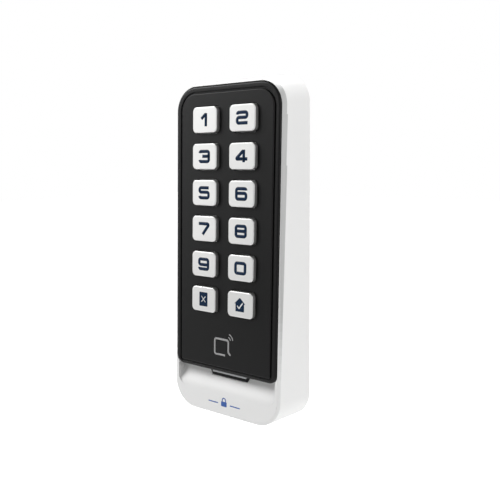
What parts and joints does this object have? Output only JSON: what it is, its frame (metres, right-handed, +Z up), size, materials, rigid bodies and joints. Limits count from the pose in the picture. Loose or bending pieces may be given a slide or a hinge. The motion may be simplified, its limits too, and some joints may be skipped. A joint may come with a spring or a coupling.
{
  "type": "keypad access reader",
  "caption": "Slim wall-mounted access reader: white cast housing, black card panel with raised press keys, status light bar and scooped chin, hung on a steel wall bracket.",
  "frame": {"origin": "centre of the wall face, on the back of the wall bracket", "axes": "+Z up along the reader, +Y into the wall, the keys face -Y, +X to the right seen from the front"},
  "size_m": [0.0504, 0.0211, 0.1276],
  "materials": {
    "white_paint": "satin white enamel on a die-cast housing",
    "black_plastic": "fine-grained black moulding",
    "black_gasket": "soft black gasket",
    "satin_key": "satin white-silver key with navy legends",
    "silicone": "grey silicone key mat",
    "circuit_board": "green solder-masked laminate",
    "copper": "lacquered copper coil",
    "ferrite": "dark ferrite",
    "light_guide": "translucent clear guide",
    "chip_black": "moulded black epoxy",
    "led_white": "pale light chip",
    "dark_plastic": "dark grey moulding",
    "terminal_green": "green terminal block",
    "steel": "brushed stainless steel",
    "rubber": "matt black rubber",
    "plunger_red": "red plunger"
  },
  "bodies": {
    "reader": {"antenna_coil": "copper", "board_plug": "dark_plastic", "board_socket": "dark_plastic", "cable_grommet": "rubber", "controller_chip": "chip_black", "cover_screw_1": "steel", "cover_screw_2": "steel", "cover_screw_3": "steel", "cover_screw_4": "steel", "ferrite_sheet": "ferrite", "front_housing": "white_paint", "key_mat": "silicone", "keypad_bezel": "black_plastic", "keypad_board": "circuit_board", "keypad_board_screw_1": "steel", "keypad_board_screw_2": "steel", "keypad_board_screw_3": "steel", "keypad_board_screw_4": "steel", "keypad_faceplate": "black_plastic", "light_guide": "light_guide", "light_holder": "black_plastic", "lock_screw": "steel", "main_board": "circuit_board", "main_board_screw_1": "steel", "main_board_screw_2": "steel", "main_board_screw_3": "steel", "main_board_screw_4": "steel", "panel_gasket": "black_gasket", "power_inductor": "ferrite", "power_regulator": "chip_black", "radio_chip": "chip_black", "rear_cover": "dark_plastic", "rear_seal": "rubber", "sounder": "chip_black", "status_led_1": "led_white", "status_led_2": "led_white", "status_led_3": "led_white", "tamper_switch": "chip_black", "terminal_block": "terminal_green", "wall_bracket": "steel"},
    "key_1_body": {"key_1": "satin_key"},
    "key_2_body": {"key_2": "satin_key"},
    "key_3_body": {"key_3": "satin_key"},
    "key_4_body": {"key_4": "satin_key"},
    "key_5_body": {"key_5": "satin_key"},
    "key_6_body": {"key_6": "satin_key"},
    "key_7_body": {"key_7": "satin_key"},
    "key_8_body": {"key_8": "satin_key"},
    "key_9_body": {"key_9": "satin_key"},
    "key_0_body": {"key_0": "satin_key"},
    "key_cancel_body": {"key_cancel": "satin_key"},
    "key_enter_body": {"key_enter": "satin_key"},
    "tamper_plunger_body": {"tamper_plunger": "plunger_red"}
  },
  "joints": [
    {"name": "key_1_press", "type": "slide", "parent": "reader", "child": "key_1_body", "axis": [0, 0.9991, -0.0419], "range_m": [0, 0.001], "stiffness_N_per_m": 800, "deforming": ["key_mat"]},
    {"name": "key_2_press", "type": "slide", "parent": "reader", "child": "key_2_body", "axis": [0, 0.9991, -0.0419], "range_m": [0, 0.001], "stiffness_N_per_m": 800, "deforming": ["key_mat"]},
    {"name": "key_3_press", "type": "slide", "parent": "reader", "child": "key_3_body", "axis": [0, 0.9991, -0.0419], "range_m": [0, 0.001], "stiffness_N_per_m": 800, "deforming": ["key_mat"]},
    {"name": "key_4_press", "type": "slide", "parent": "reader", "child": "key_4_body", "axis": [0, 0.9991, -0.0419], "range_m": [0, 0.001], "stiffness_N_per_m": 800, "deforming": ["key_mat"]},
    {"name": "key_5_press", "type": "slide", "parent": "reader", "child": "key_5_body", "axis": [0, 0.9991, -0.0419], "range_m": [0, 0.001], "stiffness_N_per_m": 800, "deforming": ["key_mat"]},
    {"name": "key_6_press", "type": "slide", "parent": "reader", "child": "key_6_body", "axis": [0, 0.9991, -0.0419], "range_m": [0, 0.001], "stiffness_N_per_m": 800, "deforming": ["key_mat"]},
    {"name": "key_7_press", "type": "slide", "parent": "reader", "child": "key_7_body", "axis": [0, 0.9991, -0.0419], "range_m": [0, 0.001], "stiffness_N_per_m": 800, "deforming": ["key_mat"]},
    {"name": "key_8_press", "type": "slide", "parent": "reader", "child": "key_8_body", "axis": [0, 0.9991, -0.0419], "range_m": [0, 0.001], "stiffness_N_per_m": 800, "deforming": ["key_mat"]},
    {"name": "key_9_press", "type": "slide", "parent": "reader", "child": "key_9_body", "axis": [0, 0.9991, -0.0419], "range_m": [0, 0.001], "stiffness_N_per_m": 800, "deforming": ["key_mat"]},
    {"name": "key_0_press", "type": "slide", "parent": "reader", "child": "key_0_body", "axis": [0, 0.9991, -0.0419], "range_m": [0, 0.001], "stiffness_N_per_m": 800, "deforming": ["key_mat"]},
    {"name": "key_cancel_press", "type": "slide", "parent": "reader", "child": "key_cancel_body", "axis": [0, 0.9991, -0.0419], "range_m": [0, 0.001], "stiffness_N_per_m": 800, "deforming": ["key_mat"]},
    {"name": "key_enter_press", "type": "slide", "parent": "reader", "child": "key_enter_body", "axis": [0, 0.9991, -0.0419], "range_m": [0, 0.001], "stiffness_N_per_m": 800, "deforming": ["key_mat"]},
    {"name": "tamper_press", "type": "slide", "parent": "reader", "child": "tamper_plunger_body", "axis": [0, -1, 0], "range_m": [0, 0.0008], "stiffness_N_per_m": 400}
  ]
}
